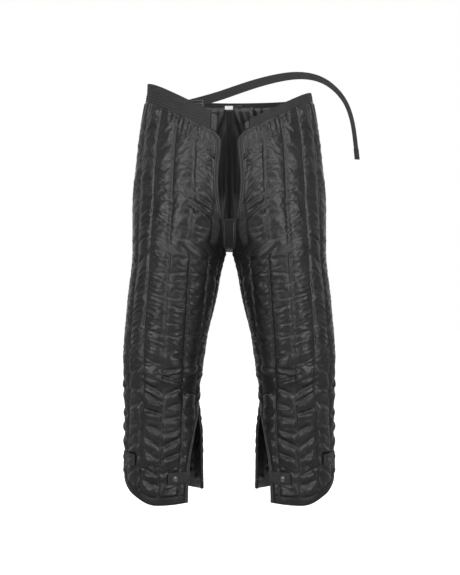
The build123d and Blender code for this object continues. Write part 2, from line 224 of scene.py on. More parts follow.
def make_object(name, points, faces, uvs=None, materials=(), indices=None, smooth_shade=True):
    """An object from points in mm, with one UV pair per vertex."""
    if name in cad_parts:
        name += "_cloth"
    mesh = bpy.data.meshes.new(name)
    mesh.from_pydata((np.asarray(points) * MM).tolist(), [], [list(map(int, f)) for f in faces])
    if uvs is not None:
        layer = mesh.uv_layers.new(name="UVMap")
        corners = np.empty(len(mesh.loops), dtype=np.int32)
        mesh.loops.foreach_get("vertex_index", corners)
        layer.data.foreach_set("uv", np.asarray(uvs, dtype=np.float32)[corners].ravel())
    for material in materials:
        mesh.materials.append(material)
    if indices is not None:
        mesh.polygons.foreach_set("material_index", np.asarray(indices, dtype=np.int32))
    mesh.polygons.foreach_set("use_smooth", [smooth_shade] * len(mesh.polygons))
    mesh.validate()
    mesh.update()
    made = bpy.data.objects.new(name, mesh)
    bpy.context.scene.collection.objects.link(made)
    return made


def mirrored(points, side):
    points = np.array(points, float)
    if side > 0:
        points[..., 0] *= -1
    return points


def rim(rows, columns):
    """The border of a grid as vertex indices, once round."""
    top = [k for k in range(columns)]
    right = [i * columns + columns - 1 for i in range(1, rows)]
    bottom = [(rows - 1) * columns + k for k in range(columns - 2, -1, -1)]
    left = [i * columns for i in range(rows - 2, 0, -1)]
    return top + right + bottom + left


def closed_sheet(outer, inner):
    """Points and faces of the closed piece between two grids of the same size."""
    rows, columns = outer.shape[:2]
    count = rows * columns
    points = np.concatenate([outer.reshape(-1, 3), inner.reshape(-1, 3)])
    faces = [*grid_faces(rows, columns, 0), *grid_faces(rows, columns, count, flip=True)]
    border = rim(rows, columns)
    for a, b in zip(border, border[1:] + border[:1]):
        faces.append((b, a, a + count, b + count))
    return points, faces


def finish_piece(piece, body, slot, *nodes):
    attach(piece, body)
    if nodes:
        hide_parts(*nodes)
    return piece


def arc_lengths(points):
    """Distance along each row of a grid from its first column."""
    steps = np.linalg.norm(np.diff(points, axis=1), axis=2)
    return np.concatenate([np.zeros((len(points), 1)), np.cumsum(steps, axis=1)], axis=1)


def line_lengths(points):
    """Distance along a line of points from its first."""
    return arc_lengths(points[None])[0]


def points_at(points, distance, wanted):
    """The points of a line at the wanted distances along it."""
    return np.stack([np.interp(wanted, distance, points[:, axis]) for axis in range(3)], axis=-1)


# ---- materials --------------------------------------------------------------------------------------
class Nodes:
    """The nodes of a material or a world, with short ways to add to them."""

    def __init__(self, owner):
        owner.use_nodes = True
        self.nodes, self.links = owner.node_tree.nodes, owner.node_tree.links

    def put(self, socket, value):
        """Links a value to a socket, or sets the socket where the value is a number or a colour."""
        if isinstance(value, bpy.types.NodeSocket):
            self.links.new(value, socket)
        else:
            socket.default_value = value

    def math(self, operation, *values):
        node = self.nodes.new("ShaderNodeMath")
        node.operation = operation
        for socket, value in zip(node.inputs, values):
            self.put(socket, value)
        return node.outputs[0]

    def place(self, source, scale=(1, 1, 1)):
        """Object or UV coordinates in metres, scaled along each axis."""
        mapping = self.nodes.new("ShaderNodeMapping")
        mapping.inputs["Scale"].default_value = scale
        self.put(mapping.inputs["Vector"], self.nodes.new("ShaderNodeTexCoord").outputs[source])
        return mapping.outputs[0]

    def split(self, vector):
        node = self.nodes.new("ShaderNodeSeparateXYZ")
        self.put(node.inputs[0], vector)
        return node.outputs

    def noise(self, scale, detail=3.0, rough=0.55, stretch=(1, 1, 1)):
        texture = self.nodes.new("ShaderNodeTexNoise")
        self.put(texture.inputs["Scale"], scale)
        self.put(texture.inputs["Detail"], detail)
        self.put(texture.inputs["Roughness"], rough)
        self.put(texture.inputs["Vector"], self.place("Object", stretch))
        return texture.outputs["Fac"]

    def ramp(self, value, low, dark, high, light):
        """The colour dark up to a value of low, light from high, and between them a blend."""
        node = self.nodes.new("ShaderNodeValToRGB")
        first, last = node.color_ramp.elements
        first.position, first.color = low, (*dark, 1)
        last.position, last.color = high, (*light, 1)
        self.put(node.inputs[0], value)
        return node.outputs[0]

    def mix(self, share, first, second):
        node = self.nodes.new("ShaderNodeMix")
        node.data_type = "RGBA"
        self.put(node.inputs[0], share)
        self.put(node.inputs[6], first)
        self.put(node.inputs[7], second)
        return node.outputs[2]

    def weighted(self, first, share, second):
        """A sum of two values, with share of the first and the rest of the second."""
        return self.math("ADD", self.math("MULTIPLY", first, share),
                         self.math("MULTIPLY", second, 1 - share))

    def camera_ray(self):
        return self.nodes.new("ShaderNodeLightPath").outputs["Is Camera Ray"]

    def weave(self, pitch):
        """A plain weave: threads along two directions, pitch in metres."""
        across, along, _ = self.split(self.place("UV"))
        turn = 2 * math.pi / pitch
        threads = [self.math("SINE", self.math("MULTIPLY", way, turn)) for way in (across, along)]
        return self.math("MULTIPLY", *threads)

    def quilting_thread(self):
        """A value above 0 on the thread of the quilting: a dash every STITCH_PITCH along each line."""
        across, along, _ = self.split(self.place("UV"))
        share = self.math("FRACT", self.math("MULTIPLY_ADD", across, 1 / (CHANNEL * MM), 0.5))
        aside = self.math("ABSOLUTE", self.math("SUBTRACT", share, 0.5))
        near = self.math("LESS_THAN", aside, 0.011)
        step = self.math("FRACT", self.math("MULTIPLY", along, 1 / (STITCH_PITCH * MM)))
        dash = self.math("LESS_THAN", step, 0.6)
        return self.math("MULTIPLY", self.math("MULTIPLY", near, dash), 0.35)


class Look(Nodes):
    """A material with one Principled shader."""

    def __init__(self, name, roughness, specular=0.5, sheen=0.0, metallic=0.0):
        self.material = bpy.data.materials.new(name)
        super().__init__(self.material)
        self.inputs = self.nodes["Principled BSDF"].inputs
        self.set("Roughness", roughness)
        self.set("Specular IOR Level", specular)
        self.set("Sheen Weight", sheen)
        self.set("Sheen Roughness", 0.4)
        self.set("Metallic", metallic)

    def set(self, name, value):
        self.put(self.inputs[name], value)

    def bump(self, *heights):
        """Chained bumps, each a value, a strength and a distance in metres."""
        normal = None
        for value, strength, distance in heights:
            bump = self.nodes.new("ShaderNodeBump")
            self.put(bump.inputs["Strength"], strength)
            self.put(bump.inputs["Distance"], distance)
            self.put(bump.inputs["Height"], value)
            if normal is not None:
                self.put(bump.inputs["Normal"], normal)
            normal = bump.outputs[0]
        self.set("Normal", normal)
        return self.material


def nylon(name, dark, light, roughness, specular, stitched=True):
    """Satin nylon: a fine weave, small creases, uneven sheen and a stitch along each quilt line."""
    look = Look(name, roughness, specular)
    cloudy = look.noise(14.0, 4.0)
    colour = look.ramp(look.weighted(cloudy, 0.75, look.noise(420.0, 2.0)), 0.3, dark, 0.7, light)
    if stitched:
        colour = look.mix(look.quilting_thread(), colour, (*[2.2 * v for v in light], 1))
    look.set("Base Color", colour)
    look.set("Roughness", look.math("MULTIPLY_ADD", cloudy, 0.16, roughness - 0.08))
    creases = look.noise(90.0, 2.0, 0.5, (1, 1, 2.6))
    return look.bump((creases, 0.22, 0.0011), (look.weave(0.0009), 0.2, 0.0001))


def tape(name, dark, light, pitch, roughness, slant=1.0):
    """Twill or webbing: slanted ridges over a fine weave."""
    look = Look(name, roughness, 0.2, 0.05)
    across, along, _ = look.split(look.place("UV"))
    leaning = look.math("MULTIPLY_ADD", across, slant, along)
    ridges = look.math("SINE", look.math("MULTIPLY", leaning, 2 * math.pi / pitch))
    speckle, cloudy = look.noise(700.0, 2.0), look.noise(40.0)
    look.set("Base Color", look.ramp(look.weighted(speckle, 0.6, cloudy), 0.32, dark, 0.68, light))
    look.set("Roughness", look.math("MULTIPLY_ADD", cloudy, 0.12, roughness - 0.06))
    return look.bump((ridges, 0.5, 0.0003), (speckle, 0.3, 0.0003))


def grained(name, dark, light, metallic, grain, gloss, strength):
    """Metal or plastic; grain is its noise, and gloss the spread and the least of its roughness."""
    look = Look(name, gloss[1], 0.5, 0.0, metallic)
    wear = look.noise(*grain)
    look.set("Base Color", look.ramp(wear, 0.3, dark, 0.7, light))
    look.set("Roughness", look.math("MULTIPLY_ADD", wear, *gloss))
    return look.bump((wear, strength, 0.0001))


def label_satin():
    look = Look("label_satin", 0.5, 0.4, 0.1)
    look.set("Base Color", look.ramp(look.noise(900.0), 0.3, (0.7, 0.7, 0.7), 0.7, (0.86, 0.86, 0.85)))
    return look.bump((look.weave(0.0007), 0.4, 0.0002))


SHELL = nylon("nylon_shell", (0.005, 0.005, 0.0055), (0.013, 0.013, 0.0137), 0.36, 0.27)
PLAIN_SHELL = nylon("plain_nylon", (0.005, 0.005, 0.0055), (0.011, 0.011, 0.0118), 0.40, 0.2,
                    stitched=False)
# painted light: the lining's colour is about twice the shell's, standing in for light on the inside of the
# legs, which lies in shade; the label backing uses it too
LINING_WITH_PAINTED_LIGHT = nylon("nylon_lining", (0.011, 0.011, 0.0116), (0.026, 0.026, 0.027), 0.36, 0.4)
ELASTIC = tape("elastic", (0.014, 0.014, 0.0148), (0.026, 0.026, 0.027), 0.0016, 0.85, 0.0)
WEBBING = tape("webbing", (0.013, 0.013, 0.0138), (0.024, 0.024, 0.025), 0.0018, 0.85)
BINDING = tape("binding_tape", (0.011, 0.011, 0.0116), (0.024, 0.024, 0.025), 0.0012, 0.8)
TAB_CLOTH = tape("tab_cloth", (0.010, 0.010, 0.0106), (0.02, 0.02, 0.021), 0.0012, 0.6)
LIGHT_THREAD = tape("light_thread", (0.09, 0.09, 0.09), (0.17, 0.17, 0.17), 0.0006, 0.7)
DARK_THREAD = tape("dark_thread", (0.012, 0.012, 0.0125), (0.03, 0.03, 0.031), 0.0006, 0.7)
METAL = grained("snap_metal", (0.06, 0.06, 0.063), (0.14, 0.14, 0.145), 1.0, (900.0, 4.0, 0.7),
                (0.3, 0.2), 0.2)
PLASTIC = grained("slider_plastic", (0.01, 0.01, 0.011), (0.022, 0.022, 0.024), 0.0, (1800.0,),
                  (0.2, 0.35), 0.3)
SATIN = label_satin()


# ---- quilted panels ------------------------------------------------------------------------------
class Panel:
    """One quilted panel of the right leg, as a grid of points that the simulation inflates."""

    def __init__(self, name, front):
        self.name, self.front = name, front
        seam = math.degrees(SEAM_GAP / 95)
        start, end = (180 + seam, front_edge) if front else (180 - seam, back_edge)
        self.angle, self.z = place(start, end, lambda a: waist_z(a) - SEAM_GAP, hem_z,
                                   PANEL_ROWS, PANEL_COLUMNS)
        self.base = surface(self.angle, self.z)
        self.normal = surface(self.angle, self.z, 1.0) - self.base
        self.along = arc_lengths(self.base)
        self.grain = (self.level_distance() - FIRST_LINE + WAIST_SHIFT * smooth(self.z, -270, -100)
                      + HEM_SHIFT * smooth(self.z, -560, -850))
        self.to_edge = self.along[:, -1:] - self.along
        self.below_top = waist_z(self.angle) - self.z
        self.above_hem = self.z - hem_z(self.angle)

    def level_distance(self):
        """Distance round the leg from the side seam, measured level."""
        share = np.linspace(0, 1, 49)
        angle = 180 + (self.angle[..., None] - 180) * share
        points = surface(angle, self.z[..., None] + 0 * share)
        return np.linalg.norm(np.diff(points, axis=2), axis=3).sum(axis=2)

    def line_distance(self):
        """Distance to the nearest stitched line, in mm."""
        share = self.grain / CHANNEL
        return np.abs(share - np.round(share)) * CHANNEL

    def held_by_trims(self):
        """1 where a seam, binding, hem band, tab or gusset holds the cloth flat."""
        edges = np.maximum(smooth(self.to_edge, 14, 9), smooth(self.along, 7, 2))
        ends = np.maximum(smooth(self.below_top, 6, 2), smooth(self.above_hem, 22, 18))
        return np.clip(np.maximum.reduce([edges, ends, self.under_tabs()]), 0, 1)

    def held(self):
        """Where the cloth is sewn down: under the trims and along the stitched lines."""
        return np.maximum(self.held_by_trims(), np.exp(-(self.line_distance() / 2.0) ** 2))

    def under_tabs(self):
        """1 under the hem tabs, knee gusset and slit tack, which lie flat on the panel."""
        tack = smooth(self.to_edge, 18, 13) * smooth(np.abs(self.z - SLIT_TOP_Z), 12, 6)
        if not self.front:
            return tack
        inner_end = front_edge(INNER_TAB_Z)
        half = TAB_HEIGHT / 2
        start, end = GUSSET_ANGLES
        knee = smooth(self.angle, start - 3, start) * smooth(self.angle, end + 3, end)
        share = (self.angle - start) / (end - start)
        knee *= smooth(self.z, gusset_top(share) + 5, gusset_top(share))
        knee *= smooth(self.z, gusset_bottom(share) - 5, gusset_bottom(share))
        covered = np.maximum(tack, knee)
        for first, last, z in ((inner_end - 32, inner_end, INNER_TAB_Z),
                               (OUTER_TAB_ANGLE, OUTER_TAB_ANGLE + 32, OUTER_TAB_Z)):
            across = smooth(self.angle, first - 5, first) * smooth(self.angle, last + 5, last)
            up = smooth(np.abs(self.z - z), half + 7, half + 1)
            covered = np.maximum(covered, across * up)
        return covered

    def folds(self):
        """Broad soft folds of the hanging cloth, in mm outwards."""
        q, z = self.grain, self.z
        height = 0.6 * noise(q / 60, z / 110, 11) + 0.12 * noise(q / 30, z / 50, 12)
        gathers = smooth(self.below_top, 60, 5)
        wave = np.sin(q * 2 * np.pi / 15 + 2.5 * noise(q / 30, z / 60, 13))
        height += (0.9 if self.front else 2.0) * gathers * wave
        return height + (1 if self.front else 0.7) * self.knee_folds()

    def knee_folds(self):
        """Slanting folds round the knee and down the calf."""
        q, z = self.grain, self.z
        knee = np.exp(-((z + 640) / 75) ** 2)
        slope = z + 0.35 * q + 12 * noise(q / 50, z / 80, 31)
        knee_part = 2.4 * knee * np.sin(slope * 2 * np.pi / 46) * (0.5 + 0.5 * noise(q / 40, z / 60, 32))
        calf = smooth(z, -690, -760)
        lean = z - 0.5 * q + 10 * noise(q / 40, z / 60, 33)
        calf_part = 1.2 * calf * np.sin(lean * 2 * np.pi / 38) * (0.5 + 0.5 * noise(q / 30, z / 50, 34))
        return knee_part + calf_part

    def puckers(self):
        """Shallow unevenness inside each channel."""
        channel = np.floor(self.grain / CHANNEL)
        return 0.16 * noise(self.grain / 24 + channel * 7.3, self.z / 16, 41)

    def start_shape(self, held):
        share = np.clip(2 * self.line_distance() / CHANNEL, 0, 1)
        puff = PUFF * (1 - (1 - share) ** 2.6) * (1 - held)
        calm = 1 - np.maximum.reduce([smooth(self.to_edge, 14, 8), smooth(self.along, 10, 2),
                                      smooth(self.above_hem, 22, 16), smooth(self.below_top, 12, 1)])
        offset = puff + self.folds() * calm * (1 - self.under_tabs()) + self.puckers() * (1 - held)
        return self.base + self.normal * offset[..., None]


def inflate(name, start, held):
    """Cloth simulation: the held cloth stays, and the rest grows a little and is blown outwards."""
    rows, columns = start.shape[:2]
    piece = make_object(name, start.reshape(-1, 3), grid_faces(rows, columns, flip=True))
    group = piece.vertex_groups.new(name="held")
    for level in range(1, 21):
        members = np.nonzero(np.round(held.ravel() * 20) == level)[0]
        if len(members):
            group.add(members.tolist(), level / 20, "REPLACE")
    cloth = piece.modifiers.new("inflate", "CLOTH")
    settings = cloth.settings
    settings.quality = 5
    settings.mass = 0.2
    settings.tension_stiffness = 12
    settings.compression_stiffness = 12
    settings.shear_stiffness = 4
    settings.bending_stiffness = 0.15
    settings.tension_damping = settings.compression_damping = settings.shear_damping = 12
    settings.air_damping = 3
    settings.vertex_group_mass = "held"
    settings.pin_stiffness = 8
    settings.shrink_min = -0.008
    settings.use_pressure = True
    settings.uniform_pressure_force = 1.6
    settings.effector_weights.gravity = 0
    scene = bpy.context.scene
    for frame_number in range(1, SIM_FRAMES + 1):
        scene.frame_set(frame_number)
    posed = piece.evaluated_get(bpy.context.evaluated_depsgraph_get())
    moved = np.empty(rows * columns * 3)
    posed.data.vertices.foreach_get("co", moved)
    moved = moved.reshape(rows, columns, 3) / MM
    mesh = piece.data
    bpy.data.objects.remove(piece)
    bpy.data.meshes.remove(mesh)
    scene.frame_set(1)
    step = moved - start
    size = np.linalg.norm(step, axis=2, keepdims=True)
    return start + step * np.minimum(1, MOVE_CAP / np.maximum(size, 1e-9))


def doubled(values, axis):
    """A grid with a smooth point added between each two neighbours along one axis."""
    values = np.moveaxis(values, axis, 0)
    before = np.concatenate([2 * values[:1] - values[1:2], values[:-2]])
    after = np.concatenate([values[2:], 2 * values[-1:] - values[-2:-1]])
    middle = (9 * (values[:-1] + values[1:]) - before - after) / 16
    out = np.empty((2 * len(values) - 1, *values.shape[1:]))
    out[0::2], out[1::2] = values, middle
    return np.moveaxis(out, 0, axis)


def finer(values):
    return doubled(doubled(values, 0), 1)


# Folds of the front panel that pull from the crotch and gather at the knee, as starts and ends
# (distance from the middle, height), depth and half width, all in mm.
FRONT_FOLDS = (
    ((45, -145), (25, -168), 2.6, 3.2),
    ((57, -166), (27, -212), 1.9, 2.6),
    ((46, -191), (31, -216), 2.2, 2.8),
    ((65, -210), (24, -262), 2.4, 2.8),
    ((72, -238), (33, -266), 3.4, 3.6),
    ((77, -253), (33, -292), 4.2, 4.2),
    ((66, -256), (30, -283), 2.2, 2.4),
    ((52, -372), (24, -398), 2.6, 4.0),
    ((44, -398), (22, -430), 2.2, 3.6),
    ((148, -617), (98, -610), 3.0, 4.0),
    ((152, -624), (104, -642), 4.4, 3.6),
    ((128, -626), (96, -622), 2.4, 2.6),
    ((104, -618), (72, -606), 2.6, 3.0),
    ((188, -624), (154, -638), 2.6, 3.2),
    ((186, -658), (150, -682), 2.8, 3.4),
    ((226, -556), (200, -580), 4.0, 4.2),
    ((222, -576), (204, -596), 3.0, 3.6),
)


def crease(u, v, start, end, depth, width, bow=0.0):
    """A sharp valley from start to end with a soft ridge below it, fading at both ends."""
    dx, dy = end[0] - start[0], end[1] - start[1]
    length = math.hypot(dx, dy)
    t = ((u - start[0]) * dx + (v - start[1]) * dy) / length ** 2
    aside = ((v - start[1]) * dx - (u - start[0]) * dy) / length * math.copysign(1, dx)
    aside = aside - bow * 4 * (t - t * t)
    fade = smooth(t, -0.12, 0.3) * smooth(t, 1.25, 0.6)
    valley = -np.exp(-(aside / width) ** 2)
    ridge = 0.75 * np.exp(-((aside + 2.0 * width) / (1.5 * width)) ** 2)
    return depth * fade * (valley + ridge)


def crease_slope(channel, z, front):
    """How the small creases lean: down towards the inseam above, and by channel on the calf."""
    zigzag = 0.55 if channel % 2 else -0.55
    if not front or channel < 2:
        return zigzag
    if z > -300:
        return -0.35 if channel < 4 else -0.8
    if z > -620:
        return -0.3
    return {2: -0.55, 3: 0.3, 4: 0.2}.get(channel, zigzag)


def crease_size(z, rng):
    """Gap to the next crease, share of the channel's width, depth and half width, in mm."""
    if z > -290:
        return rng.uniform(12, 32), rng.uniform(0.35, 0.85), rng.uniform(0.5, 1.2), rng.uniform(1.4, 2.4)
    if z > -600:
        return rng.uniform(9, 24), rng.uniform(0.45, 1.0), rng.uniform(0.7, 1.7), rng.uniform(1.5, 2.8)
    return rng.uniform(22, 38), rng.uniform(0.65, 1.0), rng.uniform(2.4, 4.2), rng.uniform(3.8, 6.0)


def small_creases(grain, z, front):
    """The short creases between the stitched lines, each starting at one of them."""
    rng = np.random.default_rng(7 if front else 8)
    total = np.zeros_like(z)
    for channel in range(-1, 8):
        left, at = channel * CHANNEL, -34.0
        while at > -900:
            gap, share, depth, width = crease_size(at, rng)
            at -= gap
            length = CHANNEL * share
            slope = crease_slope(channel, at, front) + rng.normal(0, 0.14)
            start = left + 1 if rng.random() < 0.5 else left + CHANNEL - 1 - length
            near = (np.abs(z - at) < 50) & (grain > start - 12) & (grain < start + length + 12)
            total[near] += crease(grain[near], z[near], (start, at), (start + length, at + slope * length),
                                  depth, width, rng.uniform(-3.5, 3.5))
    return np.clip(total, -4.2, 3.4)


def seam_ridge(aside, above):
    """The cloth gathered up to a tab's sewn edge, from distances to its line and its middle."""
    return 3.4 * np.exp(-(aside / 2.4) ** 2) * smooth(np.abs(above), TAB_HEIGHT / 2 + 1, TAB_HEIGHT / 2 - 2)


def outer_tab_ridge(panel):
    z = finer(panel.z)
    aside = (finer(panel.angle) - OUTER_TAB_ANGLE - 0.4) / degrees_for(1.0, z)
    return seam_ridge(aside, z - OUTER_TAB_Z)


def quilted_mesh(panel, shape):
    """Outer grid at twice the simulated detail, with its stitched grooves, and the inner grid."""
    outer = finer(shape)
    normal = finer(panel.normal)
    distance, free = finer(panel.line_distance()), 1 - finer(panel.held_by_trims())
    grain, z, x = finer(panel.grain), finer(panel.z), -finer(panel.base[..., 0])
    seams = np.minimum(finer(panel.along), finer(panel.to_edge))
    detail = small_creases(grain, z, panel.front) * smooth(distance, 0, 5)
    detail *= 0.35 + 0.65 * smooth(seams, 6, 34)
    if not panel.front:
        detail *= BACK_CALM
    else:
        folds = sum(crease(-x, z, (-start[0], start[1]), (-end[0], end[1]), depth, width)
                    for start, end, depth, width in FRONT_FOLDS)
        detail = detail * (1 - 0.8 * smooth(np.abs(folds), 0.2, 1.5)) + folds
    groove = -1.6 * np.exp(-(distance / 1.8) ** 2)
    outer = outer + normal * ((groove + detail) * free)[..., None]
    if panel.front:
        outer = outer + normal * outer_tab_ridge(panel)[..., None]
    offset = np.einsum("ijk,ijk->ij", shape - panel.base, panel.normal)
    gathers = smooth(panel.below_top, 110, 8) * (1 + np.sin(
        panel.along * 2 * np.pi / 17 + 3 * noise(panel.along / 40, panel.z / 60, 131)))
    puff_inside = 0.45 * np.clip(offset, -1, 6) + (0 if panel.front else 2.4) * gathers
    puff_inside = puff_inside + 1.5 + 0.5 * small_creases(panel.grain, panel.z, not panel.front)
    inner = panel.base + panel.normal * (LINING_OFFSET - puff_inside * (1 - panel.held()))[..., None]
    return outer, inner


def panel_object(panel, outer, inner, side_name):
    """The closed quilted piece: fine outer face, coarser lining, and the edges between them."""
    side = SIDES[side_name]
    rows, columns = outer.shape[:2]
    inner_rows, inner_columns = inner.shape[:2]
    count = rows * columns
    points = np.concatenate([mirrored(outer, side).reshape(-1, 3), mirrored(inner, side).reshape(-1, 3)])
    faces = [tuple(f) for f in grid_faces(rows, columns, 0, flip=panel.front)]
    edge = rim(rows, columns)
    inner_edge = rim(inner_rows, inner_columns)
    for k, a in enumerate(inner_edge):
        b = inner_edge[(k + 1) % len(inner_edge)] + count
        first, middle, last = edge[2 * k], edge[2 * k + 1], edge[(2 * k + 2) % len(edge)]
        face = (first, middle, last, b, a + count)
        faces.append(face if panel.front else face[::-1])
    edge_faces = len(faces)
    faces += [tuple(f) for f in grid_faces(inner_rows, inner_columns, count, flip=not panel.front)]
    if side > 0:
        faces = [f[::-1] for f in faces]
    uv = np.stack([panel.grain, panel.z], axis=-1) * MM
    uvs = np.concatenate([finer(uv).reshape(-1, 2), uv.reshape(-1, 2)])
    indices = [0] * edge_faces + [1] * (len(faces) - edge_faces)
    name = f"{side_name}_{panel.name}_quilted_panel"
    made = make_object(name, points, faces, uvs, [SHELL, LINING_WITH_PAINTED_LIGHT], indices)
    nodes = [f"{side_name}_{panel.name}_{layer}" for layer in ("shell", "wadding", "lining")]
    finish_piece(made, GARMENT, "nylon_shell", *nodes)
    return made


def quilted_panels():
    for name, front in (("front", True), ("back", False)):
        panel = Panel(name, front)
        held = panel.held()
        shape = panel.start_shape(held)
        shape = inflate(name, shape, held)
        outer, inner = quilted_mesh(panel, shape)
        for side_name in SIDES:
            panel_object(panel, outer, inner, side_name)


# ---- trims: bindings, bands, tapes, gussets ------------------------------------------------------
class Patch:
    """A piece of cloth on a leg between two edges and two ends, as a fine grid."""

    def __init__(self, start, end, top, bottom, rows, columns):
        self.angle, self.z = place(start, end, top, bottom, rows, columns)
        self.base = surface(self.angle, self.z)
        self.across = arc_lengths(self.base)
        self.down = arc_lengths(self.base.swapaxes(0, 1)).T
        self.right = self.across[:, -1:] - self.across
        self.up = self.down[-1:] - self.down

    def edge_distance(self):
        return np.minimum.reduce([self.across, self.right, self.down, self.up])

    def round_over(self, high, low, radius):
        """Offset of the outer face, falling to the inner one at the edges."""
        share = np.clip(self.edge_distance() / radius, 0, 1)
        return low + (high - low) * (0.25 + 0.75 * np.sqrt(1 - (1 - share) ** 2))

    def uv(self):
        return np.stack([self.across, self.down], axis=-1) * MM

    def at(self, offset):
        return surface(self.angle, self.z, offset)

    def line(self, aside, offset, way):
        """Points of a line down or across the patch, aside mm from its first or (below 0) last edge."""
        grid, distances = self.at(offset), self.across
        if way == "across":
            grid, distances = grid.swapaxes(0, 1), self.down.T
        return np.array([points_at(points, distance, aside if aside >= 0 else distance[-1] + aside)
                         for points, distance in zip(grid, distances)])


def resampled(points, pitch):
    """Points along a polyline, pitch mm apart."""
    distance = line_lengths(points)
    return points_at(points, distance, np.arange(pitch / 2, distance[-1], pitch))


def stitch_mesh(line, pitch=3.4, length=2.3, radius=0.34):
    """Rounded dashes of thread along a line; each is a short spindle."""
    middles = resampled(line, pitch)
    if len(middles) < 2:
        return np.zeros((0, 3)), []
    ways = np.gradient(middles, axis=0)
    ways /= np.linalg.norm(ways, axis=1, keepdims=True)
    aside = np.cross(ways, [0.31, 0.23, 0.92])
    aside /= np.linalg.norm(aside, axis=1, keepdims=True)
    out = np.cross(aside, ways)
    turns = np.radians(np.arange(6) * 60)
    rings = []
    for place_at, size in ((-0.5, 0.45), (-0.3, 1.0), (0.3, 1.0), (0.5, 0.45)):
        ring = (middles + ways * length * place_at)[:, None] + radius * size * (
            aside[:, None] * np.cos(turns)[:, None] + out[:, None] * np.sin(turns)[:, None])
        rings.append(ring)
    points = np.stack(rings, axis=1).reshape(-1, 3)
    faces = []
    for stitch in range(len(middles)):
        first = stitch * 24
        for ring in range(3):
            for k in range(6):
                a, b = first + ring * 6 + k, first + ring * 6 + (k + 1) % 6
                faces.append((a, b, b + 6, a + 6))
        faces.append(tuple(first + k for k in reversed(range(6))))
        faces.append(tuple(first + 18 + k for k in range(6)))
    return points, faces


def with_stitches(points, faces, uvs, lines, pitch=3.4, length=2.3, radius=0.34):
    """Adds rows of stitches to a mesh, and gives each face's material index."""
    faces = [tuple(int(v) for v in face) for face in faces]
    indices = [0] * len(faces)
    for line in lines:
        dashes, dash_faces = stitch_mesh(line, pitch, length, radius)
        faces += [tuple(v + len(points) for v in face) for face in dash_faces]
        indices += [1] * len(dash_faces)
        points = np.concatenate([points, dashes])
        uvs = np.concatenate([uvs, dashes[:, [0, 2]] * MM])
    return points, faces, uvs, indices


def trimmed_object(name, outer, inner, uv, material, lines=(), side=-1, thread=DARK_THREAD, **stitching):
    """A closed cloth piece with rows of stitching on it, all in one mesh."""
    points, faces = closed_sheet(outer, inner)
    uvs = np.concatenate([uv.reshape(-1, 2)] * 2)
    points, faces, uvs, indices = with_stitches(points, faces, uvs, lines, **stitching)
    if side > 0:
        faces = [face[::-1] for face in faces]
    return make_object(name, mirrored(points, side), faces, uvs, [material, thread], indices)


def sewn_piece(name, side_name, patch, high, low, material, slot_name, lines=(), node=None,
               turned=False, **sewing):
    """A cloth piece on the garment between two offsets of a patch; turned for a back panel's."""
    grids = [patch.at(high), patch.at(low), patch.uv()]
    if turned:
        grids = [grid[:, ::-1] for grid in grids]
    made = trimmed_object(name, *grids, material, lines, SIDES[side_name], **sewing)
    return finish_piece(made, GARMENT, slot_name, node or name)


def binding(name, side_name, patch, seed):
    """A strip of tape sewn down along both edges, a little puffed between the stitches."""
    high, low = SHELL_TRIM
    belly = np.sin(np.pi * np.clip(patch.across / patch.across[:, -1:], 0, 1)) ** 0.8
    ripple = 0.25 * noise(patch.across / 9, patch.down / 5.0, seed)
    raised = (0.7 * belly - 0.35 + ripple) * (patch.edge_distance() > 0.5)
    offset = patch.round_over(high, low, 1.6) + raised
    if name.endswith("front_slit_binding"):
        offset += seam_ridge(patch.right - 1.4, patch.z - INNER_TAB_Z)
    lines = [patch.line(distance, offset, "down") for distance in (2.2, -2.2)]
    sewn_piece(name, side_name, patch, offset, low, BINDING, "binding_tape", lines, thread=LIGHT_THREAD)


def fly_and_slit_bindings():
    def back_from(distance):
        return lambda z: front_edge(z) - degrees_for(distance, z)

    def within_back(distance):
        return lambda z: back_edge(z) + degrees_for(distance, z)

    def above(distance):
        return lambda a: hem_z(a) + distance
    for side_name in SIDES:
        fly = Patch(back_from(TRIM_WIDTH), lambda z: front_edge(z) - 0.3, -103, FLY_BOTTOM_Z, 120, 9)
        binding(f"{side_name}_fly_binding", side_name, fly, 51)
        slit = SLIT_TOP_Z - 14
        front = Patch(back_from(TRIM_WIDTH), lambda z: front_edge(z) - 0.3, slit, above(0.3), 120, 9)
        binding(f"{side_name}_front_slit_binding", side_name, front, 52)
        back = Patch(lambda z: back_edge(z) + 0.3, within_back(TRIM_WIDTH), slit, above(0.3), 120, 9)
        binding(f"{side_name}_back_slit_binding", side_name, back, 53)
        for name, start, end in (("front", 181.0, back_from(TRIM_WIDTH + 1)),
                                 ("back", 179.0, within_back(TRIM_WIDTH + 1))):
            hem = Patch(start, end, above(HEM_BAND_HEIGHT), above(0.3), 13, 90)
            hem_band(f"{side_name}_{name}_hem_band", side_name, hem, name == "back")


def hem_band(name, side_name, patch, turned):
    """The faced hem: the nylon turned up and sewn 18 mm above the edge."""
    high, low = SHELL_TRIM
    pucker = 0.45 * noise(patch.across / 5.5, patch.down / 14, 61) * smooth(patch.down, 16, 3)
    belly = 0.9 * np.sin(np.pi * np.clip(patch.down / HEM_BAND_HEIGHT, 0, 1)) ** 0.7
    offset = patch.round_over(high, low, 2.0) + belly + pucker - 0.4
    lines = [patch.line(1.6, offset + 0.1, "across")]
    sewn_piece(name, side_name, patch, offset, low, PLAIN_SHELL, "nylon_shell", lines, turned=turned)


def knee_gussets():
    start, end = GUSSET_ANGLES
    for side_name in SIDES:
        patch = Patch(start, end, lambda a: gusset_top((a - start) / (end - start)),
                      lambda a: gusset_bottom((a - start) / (end - start)), 24, 26)
        soft = 0.5 * noise(patch.across / 22, patch.down / 16, 71)
        offset = patch.round_over(1.9, 0.7, 2.5) + soft * smooth(patch.edge_distance(), 0, 6)
        lines = [patch.line(distance, offset, way) for distance, way in (
            (1.7, "down"), (-1.7, "down"), (1.5, "across"), (-1.5, "across"))]
        sewn_piece(f"{side_name}_knee_gusset", side_name, patch, offset, 0.7, PLAIN_SHELL,
                   "nylon_shell", lines, radius=0.22)


